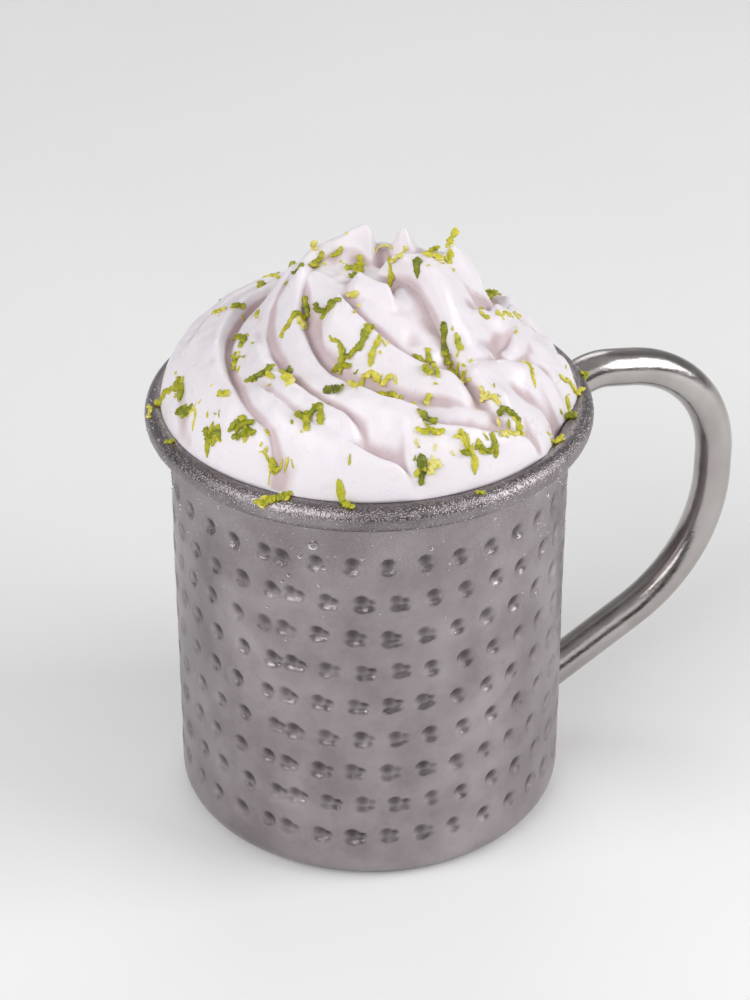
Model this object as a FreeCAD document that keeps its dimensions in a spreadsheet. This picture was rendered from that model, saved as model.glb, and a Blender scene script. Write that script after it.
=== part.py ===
import FreeCAD, Part
import math
import os
import Sketcher
from FreeCAD import Vector

# A tankard-like mug of moscow mule: a straight dimpled cup of pale metal with a rolled rim and a
# round bent handle, filled with the drink and heaped with whipped ginger foam.
# Frame: millimetres, +Z up, origin on the cup's axis at its underside, handle along +X.

doc = FreeCAD.newDocument("MuleMug")

# ---------------------------------------------------------------- driving dimensions

SIZES = [
    ("cupRadius", 42.5, "outside of the straight wall"),
    ("rimHeight", 94.1, "centre of the rolled rim above the table"),
    ("wall", 1.1, "sheet thickness of wall and floor"),
    ("footRound", 5.0, "outside round between wall and floor"),
    ("rimRound", 3.0, "radius of the rolled rim's section"),
    ("dimpleMouth", 2.2, "radius of a dimple where it meets the wall"),
    ("dimpleDepth", 0.65, "how deep a dimple is pressed"),
    ("dimpleRows", 9, "rows of dimples up the wall"),
    ("dimpleCount", 36, "dimples in one row"),
    ("dimpleSpan", 354.0, "angle from a row's first dimple to its last"),
    ("dimpleSeam", -140.0, "angle at which the odd rows start"),
    ("dimpleShift", 2.4, "turn of the even rows against the odd ones"),
    ("lowestRow", 12.0, "height of the lowest row of dimples"),
    ("plainBand", 13.3, "from the highest row up to the rim's centre"),
    ("barRadius", 4.2, "radius of the handle's round bar"),
    ("handleReach", 44.6, "from the wall to the grip's centreline"),
    ("crownReach", 11.7, "from the wall to the handle's upper corner"),
    ("crownRise", 24.0, "slope of the handle where it leaves the rim"),
    ("crownFall", 10.0, "slope of the handle's top towards the grip"),
    ("tailRise", 28.0, "slope of the handle's lower arm"),
    ("tailHeight", 9.8, "height at which the lower arm meets the wall"),
    ("crownBend", 12.0, "centreline radius of the first bend"),
    ("shoulderBend", 28.2, "centreline radius of the upper bend"),
    ("heelBend", 37.5, "centreline radius of the lower bend"),
    ("rimGap", 0.3, "clearance between the handle and the rolled rim"),
    ("fillGap", 0.05, "clearance between the wall and what fills the cup"),
    ("headRoom", 10.1, "from the drink up to the rim's centre"),
    ("lapInset", 0.4, "how far inside the rim's centre the foam ends"),
    ("lipRise", 2.8, "foam's edge above the rim's centre"),
    ("foamOverhang", 3.65, "how far outside the bore the heap would end"),
    ("notchTurn", -44.0, "angle at which the foam draws back from the rim"),
    ("notchWide", 10.0, "angle over which it draws back"),
    ("notchDepth", 4.0, "how far it draws back"),
    ("tierRise", 16.0, "rise of the heap's broad lower tier"),
    ("tierPower", 7.0, "how squarely the lower tier ends"),
    ("crestRise", 14.5, "further rise of the heap's top"),
    ("crestCore", 0.266, "full height of the top, as a share of the fill's radius"),
    ("crestSlope", 0.411, "width of the slope round it, as such a share"),
    ("crestOut", 0.054, "offset of the top from the axis, as such a share"),
    ("crestTurn", 1.6, "angle of that offset"),
    ("foldBlend", 1.8, "how sharply the folds meet, per millimetre"),
    ("foldSink", 1.0, "how far the folds sink into the heap"),
]

sheet = doc.addObject("Spreadsheet::Sheet", "Sizes")
for line, (alias, value, meaning) in enumerate(SIZES, start=1):
    sheet.set("A%d" % line, alias)
    sheet.set("B%d" % line, str(value))
    sheet.set("C%d" % line, meaning)
    sheet.setAlias("B%d" % line, alias)
DERIVED = [
    ("bore", "=cupRadius - wall", "inside radius of the cup"),
    ("rimOut", "=bore + rimRound", "radius of the rolled rim's centre circle"),
    ("fillRadius", "=bore - fillGap", "radius of what fills the cup"),
    ("dimpleBall", "=(dimpleMouth ^ 2 + dimpleDepth ^ 2) / (2 * dimpleDepth)", "radius of the dimple punch"),
    ("dimpleOut", "=cupRadius - dimpleDepth + dimpleBall", "distance of the punch from the axis"),
    ("rowStep", "=(rimHeight - plainBand - lowestRow) / (dimpleRows - 1)", "height from one row to the next"),
    ("oddRows", "=ceil(dimpleRows / 2)", "rows of dimples counted from the lowest by twos"),
    ("evenRows", "=floor(dimpleRows / 2)", "rows of dimples between those"),
    ("drinkLevel", "=rimHeight - headRoom", "height of the drink below the foam"),
    ("lapRadius", "=rimOut - lapInset", "radius of the foam's edge on the rim"),
    ("foamLip", "=rimHeight + lipRise", "height of the foam at its edge"),
    ("mouldTop", "=foamLip + 2 * (tierRise + crestRise)", "height well above the foam"),
]
for line, (alias, formula, meaning) in enumerate(DERIVED, start=len(SIZES) + 1):
    sheet.set("A%d" % line, alias)
    sheet.set("B%d" % line, formula)
    sheet.set("C%d" % line, meaning)
    sheet.setAlias("B%d" % line, alias)
doc.recompute()


def size(alias):
    return float(getattr(sheet, alias))


# ---------------------------------------------------------------- shared helpers

def makeBody(name):
    body = doc.addObject("PartDesign::Body", name)
    body.Label = name
    return body


def originPlane(body, role):
    return next(f for f in body.Origin.OriginFeatures if f.Role == role)


def makeSketch(body, name, role):
    sketch = body.newObject("Sketcher::SketchObject", name)
    sketch.AttachmentSupport = [(originPlane(body, role), "")]
    sketch.MapMode = "FlatFace"
    return sketch


def bindConstraints(sketch, bindings):
    """Adds each constraint with a name and ties it to a sheet formula."""
    for name, constraint, formula in bindings:
        index = sketch.addConstraint(constraint)
        sketch.renameConstraint(index, name)
        sketch.setExpression("Constraints." + name, formula)


def steppedSection(body, name, corners):
    """A closed section of level and upright lines in turn, through these corners."""
    sketch = makeSketch(body, name, "XZ_Plane")
    count = len(corners)
    for here in range(count):
        start = Vector(*corners[here], 0)
        end = Vector(*corners[(here + 1) % count], 0)
        sketch.addGeometry(Part.LineSegment(start, end), False)
    for here in range(count):
        sketch.addConstraint(Sketcher.Constraint("Coincident", here, 2, (here + 1) % count, 1))
        direction = "Horizontal" if here % 2 == 0 else "Vertical"
        sketch.addConstraint(Sketcher.Constraint(direction, here))
    return sketch


def circleEdges(shape, radius, height):
    """Names of the round edges of this radius that lie level at this height."""
    names = []
    for number, edge in enumerate(shape.Edges, start=1):
        curve = edge.Curve
        if isinstance(curve, Part.Circle):
            sameRadius = abs(curve.Radius - radius) < 0.01
            if sameRadius and abs(curve.Center.z - height) < 0.01:
                names.append("Edge%d" % number)
    return names


# ---------------------------------------------------------------- cup

def cupProfile(body):
    """Half section of the plain cup: floor and wall as one bent strip."""
    radius, height, wall = size("cupRadius"), size("rimHeight"), size("wall")
    inside = size("bore")
    corners = [(0, 0), (radius, 0), (radius, height), (inside, height), (inside, wall), (0, wall)]
    sketch = steppedSection(body, "CupProfile", corners)
    sketch.addConstraint(Sketcher.Constraint("Coincident", 0, 1, -1, 1))
    bindConstraints(sketch, [
        ("Radius", Sketcher.Constraint("DistanceX", 0, 1, 0, 2, radius), "Sizes.cupRadius"),
        ("Height", Sketcher.Constraint("DistanceY", 1, 1, 1, 2, height), "Sizes.rimHeight"),
        ("Wall", Sketcher.Constraint("DistanceX", 2, 2, 2, 1, wall), "Sizes.wall"),
        ("Floor", Sketcher.Constraint("DistanceY", 5, 2, 5, 1, wall), "Sizes.wall"),
    ])
    return sketch


def roundedEdges(body, name, radius, height, formula):
    """Rounds the circular edge of this radius and height."""
    base = body.Tip
    fillet = body.newObject("PartDesign::Fillet", name)
    fillet.Base = (base, circleEdges(base.Shape, radius, height))
    fillet.setExpression("Radius", formula)
    doc.recompute()
    return fillet


def turned(body, kind, name, sketch):
    feature = body.newObject(kind, name)
    feature.Profile = sketch
    feature.ReferenceAxis = (sketch, ["V_Axis"])
    feature.Angle = 360
    doc.recompute()
    return feature


def dimpleGrid(body, name, turn, lift, rows):
    """One ball-shaped dimple, repeated round the wall and up it by every second row."""
    ball = body.newObject("PartDesign::SubtractiveSphere", name + "Ball")
    ball.AttachmentSupport = [(originPlane(body, "XY_Plane"), "")]
    ball.MapMode = "FlatFace"
    ball.setExpression("Radius", "Sizes.dimpleBall")
    ball.setExpression("AttachmentOffset.Base.x", "Sizes.dimpleOut * cos(%s)" % turn)
    ball.setExpression("AttachmentOffset.Base.y", "Sizes.dimpleOut * sin(%s)" % turn)
    ball.setExpression("AttachmentOffset.Base.z", lift)
    doc.recompute()
    grid = body.newObject("PartDesign::MultiTransform", name)
    ring = body.newObject("PartDesign::PolarPattern", name + "Ring")
    ring.Axis = (originPlane(body, "Z_Axis"), [""])
    ring.setExpression("Angle", "Sizes.dimpleSpan")
    ring.setExpression("Occurrences", "Sizes.dimpleCount")
    stack = body.newObject("PartDesign::LinearPattern", name + "Stack")
    stack.Direction = (originPlane(body, "Z_Axis"), [""])
    stack.setExpression("Length", "2 * Sizes.rowStep * (%s - 1)" % rows)
    stack.setExpression("Occurrences", rows)
    grid.Originals = [ball]
    grid.Transformations = [ring, stack]
    body.Tip = grid
    doc.recompute()
    return grid


def makeMug():
    body = makeBody("mug")
    turned(body, "PartDesign::Revolution", "CupWall", cupProfile(body))
    roundedEdges(body, "FootRound", size("cupRadius"), 0, "Sizes.footRound")
    roundedEdges(body, "FloorRound", size("bore"), size("wall"), "Sizes.footRound - Sizes.wall")

    rim = makeSketch(body, "RimSection", "XZ_Plane")
    centre = Vector(size("rimOut"), size("rimHeight"), 0)
    rim.addGeometry(Part.Circle(centre, Vector(0, 0, 1), size("rimRound")), False)
    bindConstraints(rim, [
        ("Round", Sketcher.Constraint("Radius", 0, size("rimRound")), "Sizes.rimRound"),
        ("Out", Sketcher.Constraint("DistanceX", -1, 1, 0, 3, centre.x), "Sizes.rimOut"),
        ("Up", Sketcher.Constraint("DistanceY", -1, 1, 0, 3, centre.y), "Sizes.rimHeight"),
    ])
    turned(body, "PartDesign::Revolution", "RolledRim", rim)

    dimpleGrid(body, "OddDimples", "Sizes.dimpleSeam", "Sizes.lowestRow", "Sizes.oddRows")
    dimpleGrid(body, "EvenDimples", "Sizes.dimpleSeam + Sizes.dimpleShift",
               "Sizes.lowestRow + Sizes.rowStep", "Sizes.evenRows")
    return body


# ---------------------------------------------------------------- handle

def handlePath(body):
    """Centreline of the bar: out from under the rim, over the grip and back to the wall."""
    rise, fall = math.radians(size("crownRise")), math.radians(size("crownFall"))
    tail = math.radians(size("tailRise"))
    wallAt = size("cupRadius")
    root = wallAt - size("wall") / 2
    rimAt = Vector(size("rimOut"), size("rimHeight"), 0)
    clear = size("rimRound") + size("barRadius") + size("rimGap")

    def crownLine(out):
        return Vector(out, rimAt.y - clear / math.cos(rise) + (out - rimAt.x) * math.tan(rise), 0)

    grip = wallAt + size("handleReach")
    crown = crownLine(wallAt + size("crownReach"))
    shoulder = Vector(grip, crown.y - (grip - crown.x) * math.tan(fall), 0)
    heel = Vector(grip, size("tailHeight") + size("handleReach") * math.tan(tail), 0)
    foot = Vector(root, size("tailHeight") - (wallAt - root) * math.tan(tail), 0)
    corners = [crownLine(root), crown, shoulder, heel, foot]
    bends = [size("crownBend"), size("shoulderBend"), size("heelBend")]

    sketch = makeSketch(body, "HandlePath", "XZ_Plane")
    pieces = []
    start = corners[0]
    for before, corner, after, bend in zip(corners, corners[1:], corners[2:], bends):
        inward = (before - corner).normalize()
        onward = (after - corner).normalize()
        half = inward.getAngle(onward) / 2
        cut = bend / math.tan(half)
        first = corner + inward * cut
        last = corner + onward * cut
        middle = corner + (inward + onward).normalize() * (bend / math.sin(half) - bend)
        pieces.append(Part.LineSegment(start, first))
        pieces.append(Part.Arc(first, middle, last))
        start = last
    pieces.append(Part.LineSegment(start, corners[-1]))
    for piece in pieces:
        sketch.addGeometry(piece, False)
    crownArm, crownArc, topArm, topArc, gripArm, heelArc, tailArm = range(7)

    for line, arc, nextLine in ((0, 1, 2), (2, 3, 4), (4, 5, 6)):
        # every bend turns clockwise, so its geometry starts at its lower end
        sketch.addConstraint(Sketcher.Constraint("Tangent", line, 2, arc, 2))
        sketch.addConstraint(Sketcher.Constraint("Tangent", arc, 1, nextLine, 1))
    rimPoint = sketch.addGeometry(Part.Point(rimAt), True)
    crownPoint = sketch.addGeometry(Part.Point(crown), True)
    tailPoint = sketch.addGeometry(Part.Point(Vector(wallAt, size("tailHeight"), 0)), True)
    for point, arm in ((crownPoint, crownArm), (crownPoint, topArm), (tailPoint, tailArm)):
        sketch.addConstraint(Sketcher.Constraint("PointOnObject", point, 1, arm))
    sketch.addConstraint(Sketcher.Constraint("Vertical", gripArm))
    bindConstraints(sketch, [
        ("RimOut", Sketcher.Constraint("DistanceX", -1, 1, rimPoint, 1, rimAt.x), "Sizes.rimOut"),
        ("RimUp", Sketcher.Constraint("DistanceY", -1, 1, rimPoint, 1, rimAt.y), "Sizes.rimHeight"),
        ("RimClear", Sketcher.Constraint("Distance", rimPoint, 1, crownArm, clear),
         "Sizes.rimRound + Sizes.barRadius + Sizes.rimGap"),
        ("CrownOut", Sketcher.Constraint("DistanceX", -1, 1, crownPoint, 1, crown.x),
         "Sizes.cupRadius + Sizes.crownReach"),
        ("GripOut", Sketcher.Constraint("DistanceX", -1, 1, gripArm, 1, grip),
         "Sizes.cupRadius + Sizes.handleReach"),
        ("TailOut", Sketcher.Constraint("DistanceX", -1, 1, tailPoint, 1, wallAt), "Sizes.cupRadius"),
        ("TailUp", Sketcher.Constraint("DistanceY", -1, 1, tailPoint, 1, size("tailHeight")),
         "Sizes.tailHeight"),
        ("RootOut", Sketcher.Constraint("DistanceX", -1, 1, crownArm, 1, root),
         "Sizes.cupRadius - Sizes.wall / 2"),
        ("FootOut", Sketcher.Constraint("DistanceX", -1, 1, tailArm, 2, root),
         "Sizes.cupRadius - Sizes.wall / 2"),
        ("Rise", Sketcher.Constraint("Angle", -1, 1, crownArm, 1, rise), "Sizes.crownRise * 1 deg"),
        ("Fall", Sketcher.Constraint("Angle", topArm, 1, -1, 1, fall), "Sizes.crownFall * 1 deg"),
        ("Tail", Sketcher.Constraint("Angle", -1, 1, tailArm, 2, tail), "Sizes.tailRise * 1 deg"),
        ("CrownBend", Sketcher.Constraint("Radius", crownArc, bends[0]), "Sizes.crownBend"),
        ("ShoulderBend", Sketcher.Constraint("Radius", topArc, bends[1]), "Sizes.shoulderBend"),
        ("HeelBend", Sketcher.Constraint("Radius", heelArc, bends[2]), "Sizes.heelBend"),
    ])
    doc.recompute()
    return sketch


def makeHandle():
    body = makeBody("handle")
    path = handlePath(body)
    section = body.newObject("Sketcher::SketchObject", "BarSection")
    section.AttachmentSupport = [(path, "Edge1")]
    section.MapMode = "NormalToEdge"
    section.MapPathParameter = 0
    section.addGeometry(Part.Circle(Vector(0, 0, 0), Vector(0, 0, 1), size("barRadius")), False)
    section.addConstraint(Sketcher.Constraint("Coincident", 0, 3, -1, 1))
    bindConstraints(section, [
        ("Bar", Sketcher.Constraint("Radius", 0, size("barRadius")), "Sizes.barRadius"),
    ])
    doc.recompute()
    bar = body.newObject("PartDesign::AdditivePipe", "BentBar")
    bar.Profile = section
    bar.Spine = (path, ["Edge%d" % (number + 1) for number in range(len(path.Shape.Edges))])
    doc.recompute()

    # the bar's ends are scribed to the cup's wall
    radius, height = size("cupRadius"), size("rimHeight")
    corners = [(0, 0), (radius, 0), (radius, height), (0, height)]
    scribe = steppedSection(body, "WallScribe", corners)
    scribe.addConstraint(Sketcher.Constraint("Coincident", 0, 1, -1, 1))
    bindConstraints(scribe, [
        ("Radius", Sketcher.Constraint("DistanceX", 0, 1, 0, 2, radius), "Sizes.cupRadius"),
        ("Height", Sketcher.Constraint("DistanceY", 1, 1, 1, 2, height), "Sizes.rimHeight"),
    ])
    untrimmed = bar.Shape.Volume
    turned(body, "PartDesign::Groove", "WallSeat", scribe)
    if body.Shape.Volume >= untrimmed:
        raise RuntimeError("the handle's ends are not trimmed to the wall")
    return body


# ---------------------------------------------------------------- drink

def makeDrink():
    body = makeBody("drink")
    radius, level = size("fillRadius"), size("drinkLevel")
    low = size("wall") + size("fillGap")
    corners = [(0, low), (radius, low), (radius, level), (0, level)]
    sketch = steppedSection(body, "DrinkProfile", corners)
    sketch.addConstraint(Sketcher.Constraint("PointOnObject", 0, 1, -2))
    bindConstraints(sketch, [
        ("Low", Sketcher.Constraint("DistanceY", -1, 1, 0, 1, low), "Sizes.wall + Sizes.fillGap"),
        ("Radius", Sketcher.Constraint("DistanceX", 0, 1, 0, 2, radius), "Sizes.fillRadius"),
        ("Level", Sketcher.Constraint("DistanceY", -1, 1, 2, 1, level), "Sizes.drinkLevel"),
    ])
    turned(body, "PartDesign::Revolution", "DrinkFill", sketch)
    roundedEdges(body, "DrinkRound", radius, low, "Sizes.footRound - Sizes.wall - Sizes.fillGap")
    return body


# ---------------------------------------------------------------- foam

# Long soft folds that wind over the heap. Each has the angle and radius at which it starts and
# ends, the half width of its gentle outer side and of its steep inner side, its height, and the
# angles over which its two ends fade out. Radii and widths are shares of the fill's radius.
FOLDS = [
    (125, 0.609, 225, 1.054, 0.206, 0.058, 3.4, 40, 15),
    (140, 0.440, 263, 1.040, 0.206, 0.053, 3.4, 35, 12),
    (165, 0.365, 271, 0.883, 0.181, 0.053, 3.4, 35, 15),
    (260, 0.822, 300, 1.021, 0.181, 0.053, 2.8, 14, 12),
    (220, 0.351, 280, 0.653, 0.145, 0.048, 3.2, 25, 14),
    (325, 0.169, 293, 0.629, 0.193, 0.058, 4.0, 10, 10),
    (293, 0.653, 327, 0.871, 0.145, 0.058, 3.0, 10, 12),
    (310, 0.532, 355, 0.798, 0.133, 0.063, 3.2, 14, 16),
    (320, 0.339, 385, 0.726, 0.145, 0.063, 3.2, 20, 25),
    (-25, 0.798, 35, 0.992, 0.157, 0.073, 2.8, 14, 20),
    (85, 0.701, 153, 0.979, 0.169, 0.073, 1.6, 35, 25),
    (25, 0.580, 115, 0.967, 0.181, 0.063, 1.0, 25, 25),
    (55, 0.387, 155, 0.798, 0.181, 0.058, 3.2, 25, 25),
    (95, 0.218, 190, 0.556, 0.145, 0.058, 3.0, 25, 25),
]
# Small peaks, and hollows where the height is below zero: angle, radius and half width as such
# shares, and height.
PEAKS = [
    (59, 0.146, 0.092, 5.0),
    (107, 0.163, 0.087, 2.2),
    (3, 0.203, 0.053, 5.0),
    (-14, 0.370, 0.133, 4.0),
    (-16, 0.477, 0.082, 2.0),
    (139, 0.352, 0.121, 2.5),
    (24, 0.134, 0.039, -3.0),
    (169, 0.299, 0.073, 2.0),
    (291, 0.736, 0.121, -3.0),
    (282, 0.363, 0.145, -3.0),
]
UNSEEN_FOLD = -3.0
DEEPEST_FOLD = -8.0
LARGEST_SHARE = 1.08
GRID_STEPS = 72
GRID_MARGIN = 1.5


def smoothStep(share):
    share = min(max(share, 0.0), 1.0)
    return share * share * (3 - 2 * share)


def turnBetween(angle, other):
    """The angle from other to angle, from -180 to 180 degrees."""
    return (angle - other + 180) % 360 - 180


def polar(share, angle):
    """Level position of a share of the fill's radius at this angle."""
    radius = share * size("fillRadius")
    return radius * math.cos(math.radians(angle)), radius * math.sin(math.radians(angle))


def heapHeight(x, y):
    """The bare heap: a broad lower tier that is steep at the rim, and a narrower top."""
    notch = turnBetween(math.degrees(math.atan2(y, x)), size("notchTurn")) / size("notchWide")
    edge = size("fillRadius") + size("foamOverhang") - size("notchDepth") * math.exp(-notch ** 2)
    share = min(math.hypot(x, y) / edge, LARGEST_SHARE)
    tier = size("foamLip") + size("tierRise") * (1 - share ** size("tierPower"))
    topX, topY = polar(size("crestOut"), size("crestTurn"))
    fromTop = math.hypot(x - topX, y - topY) / size("fillRadius")
    slope = smoothStep((fromTop - size("crestCore")) / size("crestSlope"))
    return tier + size("crestRise") * (1 - slope)


def foldHeight(fold, radius, angle):
    """Height of one fold's back over the heap, below zero away from it."""
    startAngle, startShare, endAngle, endShare, gentle, steep, height, fadeIn, fadeOut = fold
    half = abs(endAngle - startAngle) / 2
    along = turnBetween(angle, (startAngle + endAngle) / 2)
    if endAngle < startAngle:
        along = -along
    growth = math.log(endShare / startShare) / (2 * half)
    crest = startShare * math.exp(growth * (along + half))
    across = (radius / size("fillRadius") - crest) * math.cos(math.atan(math.degrees(growth)))
    side = gentle if across > 0 else steep
    shown = smoothStep((along + half) / fadeIn + 1) * smoothStep((half - along) / fadeOut + 1)
    rise = height * (1 - (across / side) ** 2) - (1 - shown) * (height - UNSEEN_FOLD)
    return max(rise, DEEPEST_FOLD)


def foamHeight(x, y):
    radius = math.hypot(x, y)
    angle = math.degrees(math.atan2(y, x))
    blend = size("foldBlend")
    total = 1.0
    for fold in FOLDS:
        total += math.exp(blend * foldHeight(fold, radius, angle))
    level = heapHeight(x, y) + math.log(total) / blend - size("foldSink")
    for turn, share, width, height in PEAKS:
        peakX, peakY = polar(share, turn)
        away = math.hypot(x - peakX, y - peakY) / (width * size("fillRadius"))
        level += height * math.exp(-away ** 2)
    return level


def foamMould():
    """Round body that bounds the foam: the bore, the inner side of the rolled rim, and the edge."""
    body = makeBody("FoamMould")
    radius, level, top = size("fillRadius"), size("drinkLevel"), size("mouldTop")
    rimOut, rimUp, lap = size("rimOut"), size("rimHeight"), size("lapRadius")
    bend = rimOut - radius
    lapUp = rimUp + math.sqrt(bend ** 2 - (rimOut - lap) ** 2)
    halfTurn = (math.pi + math.acos((lap - rimOut) / bend)) / 2
    middle = Vector(rimOut + bend * math.cos(halfTurn), rimUp + bend * math.sin(halfTurn), 0)
    sketch = makeSketch(body, "MouldSection", "XZ_Plane")
    pieces = [
        Part.LineSegment(Vector(0, level, 0), Vector(radius, level, 0)),
        Part.LineSegment(Vector(radius, level, 0), Vector(radius, rimUp, 0)),
        Part.Arc(Vector(lap, lapUp, 0), middle, Vector(radius, rimUp, 0)),
        Part.LineSegment(Vector(lap, lapUp, 0), Vector(lap, top, 0)),
        Part.LineSegment(Vector(lap, top, 0), Vector(0, top, 0)),
        Part.LineSegment(Vector(0, top, 0), Vector(0, level, 0)),
    ]
    for piece in pieces:
        sketch.addGeometry(piece, False)
    base, wall, rimArc, edge, lid, axis = range(6)
    joins = [(base, 2, wall), (rimArc, 1, edge), (edge, 2, lid), (lid, 2, axis), (axis, 2, base)]
    for one, oneEnd, other in joins:
        sketch.addConstraint(Sketcher.Constraint("Coincident", one, oneEnd, other, 1))
    sketch.addConstraint(Sketcher.Constraint("Tangent", wall, 2, rimArc, 2))
    for line in (base, lid):
        sketch.addConstraint(Sketcher.Constraint("Horizontal", line))
    for line in (wall, edge, axis):
        sketch.addConstraint(Sketcher.Constraint("Vertical", line))
    sketch.addConstraint(Sketcher.Constraint("PointOnObject", base, 1, -2))
    bindConstraints(sketch, [
        ("Level", Sketcher.Constraint("DistanceY", -1, 1, base, 1, level), "Sizes.drinkLevel"),
        ("Radius", Sketcher.Constraint("DistanceX", base, 1, base, 2, radius), "Sizes.fillRadius"),
        ("RimOut", Sketcher.Constraint("DistanceX", -1, 1, rimArc, 3, rimOut), "Sizes.rimOut"),
        ("RimUp", Sketcher.Constraint("DistanceY", -1, 1, rimArc, 3, rimUp), "Sizes.rimHeight"),
        ("Lap", Sketcher.Constraint("DistanceX", -1, 1, edge, 1, lap), "Sizes.lapRadius"),
        ("Top", Sketcher.Constraint("DistanceY", -1, 1, lid, 2, top), "Sizes.mouldTop"),
    ])
    turned(body, "PartDesign::Revolution", "Mould", sketch)
    return body


def makeFoam():
    """A smooth surface through the foam's heights, filled down to the drink inside the mould."""
    mould = foamMould()
    half = size("lapRadius") + GRID_MARGIN
    step = 2 * half / GRID_STEPS
    places = [-half + count * step for count in range(GRID_STEPS + 1)]
    grid = [[Vector(x, y, foamHeight(x, y)) for y in places] for x in places]
    surface = Part.BSplineSurface()
    surface.interpolate(grid)
    depth = size("mouldTop") - size("drinkLevel")
    block = surface.toShape().extrude(Vector(0, 0, -2 * depth))
    foam = doc.addObject("Part::Feature", "foam")
    foam.Label = "foam"
    solids = block.common(mould.Shape).Solids
    if len(solids) != 1:
        raise RuntimeError("the foam came out as %d solids" % len(solids))
    foam.Shape = Part.Solid(solids[0])
    return foam


# ---------------------------------------------------------------- build and export

pieces = [makeMug(), makeHandle(), makeDrink(), makeFoam()]
doc.recompute()

for item in doc.Objects:
    if "Invalid" in item.State or "Error" in item.State:
        raise RuntimeError("%s did not compute: %s" % (item.Name, item.State))
for piece in pieces:
    if piece.Shape.isNull() or not piece.Shape.isValid():
        raise RuntimeError("%s has no valid shape" % piece.Label)

os.makedirs("parts", exist_ok=True)
for piece in pieces:
    piece.Shape.exportStep("parts/%s.step" % piece.Label)
    print(piece.Label, round(piece.Shape.Volume / 1000, 2), "cm3", len(piece.Shape.Faces), "faces")
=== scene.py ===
import math
import random

import bpy
import numpy as np
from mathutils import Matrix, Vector, noise


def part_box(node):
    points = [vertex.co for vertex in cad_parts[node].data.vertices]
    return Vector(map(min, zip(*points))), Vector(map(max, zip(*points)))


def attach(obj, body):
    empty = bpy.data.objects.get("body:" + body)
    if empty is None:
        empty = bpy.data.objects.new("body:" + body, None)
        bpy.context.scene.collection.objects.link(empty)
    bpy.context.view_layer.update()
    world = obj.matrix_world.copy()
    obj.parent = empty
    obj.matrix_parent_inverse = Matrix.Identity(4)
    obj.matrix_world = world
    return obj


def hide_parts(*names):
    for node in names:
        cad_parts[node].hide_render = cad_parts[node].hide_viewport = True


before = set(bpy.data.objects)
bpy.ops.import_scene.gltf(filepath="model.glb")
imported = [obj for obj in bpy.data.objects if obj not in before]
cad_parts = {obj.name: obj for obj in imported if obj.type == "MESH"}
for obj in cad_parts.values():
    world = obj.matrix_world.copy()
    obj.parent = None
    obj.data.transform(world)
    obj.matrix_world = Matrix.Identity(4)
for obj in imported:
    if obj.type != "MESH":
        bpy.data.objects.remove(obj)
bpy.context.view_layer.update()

mm = 0.001  # shapes are worked out in millimetres, and angles in tables are in degrees
farBelow = -100.0  # a height under everything
scene = bpy.context.scene


def sizeOf(node):
    low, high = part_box(node)
    return np.array(low) / mm, np.array(high) / mm


mugLow, mugHigh = sizeOf("mug")
drinkHigh = sizeOf("drink")[1]
foamHigh = sizeOf("foam")[1]
print("frame loaded: mug %.1f mm wide, part %.1f mm tall" % (mugHigh[0] - mugLow[0], foamHigh[2]))


# helpers for meshes
def meshPiece(name, points, faces):
    mesh = bpy.data.meshes.new(name)
    mesh.from_pydata([tuple(p) for p in (np.asarray(points) * mm)], [], faces)
    mesh.update()
    mesh.polygons.foreach_set("use_smooth", [True] * len(mesh.polygons))
    piece = bpy.data.objects.new(name, mesh)
    scene.collection.objects.link(piece)
    return piece


def gridFaces(rows, columns, wrap, start=0):
    # quads between neighbouring rows; wrap closes each row into a ring
    faces = []
    last = columns if wrap else columns - 1
    for row in range(rows - 1):
        low, high = start + row * columns, start + (row + 1) * columns
        for column in range(last):
            right = (column + 1) % columns
            faces.append((low + column, low + right, high + right, high + column))
    return faces


def pointValues(piece, name, values):
    attribute = piece.data.attributes.new(name, "FLOAT", "POINT")
    attribute.data.foreach_set("value", np.asarray(values, np.float32))


def ease(share):
    share = np.clip(share, 0, 1)
    return share * share * (3 - 2 * share)


def evened(grid, passes, keep=0.0):
    # each inner point moves towards the mean of its four neighbours
    for again in range(passes):
        around = grid[:-2, 1:-1] + grid[2:, 1:-1] + grid[1:-1, :-2] + grid[1:-1, 2:]
        grid[1:-1, 1:-1] = grid[1:-1, 1:-1] * keep + around / 4 * (1 - keep)
    return grid


def angleGap(one, other):
    return (one - other + 180) % 360 - 180


def polar(out, angle):
    return out * math.cos(math.radians(angle)), out * math.sin(math.radians(angle))


def arc(out, up, radius, turns):
    return [(out + radius * math.cos(turn), up + radius * math.sin(turn)) for turn in turns]


# helpers for materials
def newMaterial(name):
    material = bpy.data.materials.new(name)
    material.use_nodes = True
    tree = material.node_tree
    where = tree.nodes.new("ShaderNodeTexCoord").outputs["Object"]
    return material, tree, tree.nodes["Principled BSDF"], where


def feed(tree, socket, value):
    # a socket takes another node's output or a fixed value
    if isinstance(value, bpy.types.NodeSocket):
        tree.links.new(value, socket)
    else:
        socket.default_value = value


def noiseOf(tree, source, scale, detail, rough):
    pattern = tree.nodes.new("ShaderNodeTexNoise")
    pattern.inputs["Scale"].default_value = scale
    pattern.inputs["Detail"].default_value = detail
    pattern.inputs["Roughness"].default_value = rough
    tree.links.new(source, pattern.inputs["Vector"])
    return pattern.outputs["Fac"]


def cellsOf(tree, source, scale):
    cells = tree.nodes.new("ShaderNodeTexVoronoi")
    cells.inputs["Scale"].default_value = scale
    tree.links.new(source, cells.inputs["Vector"])
    return cells.outputs["Distance"]


def attributeOf(tree, name):
    found = tree.nodes.new("ShaderNodeAttribute")
    found.attribute_name = name
    return found.outputs["Fac"]


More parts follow.
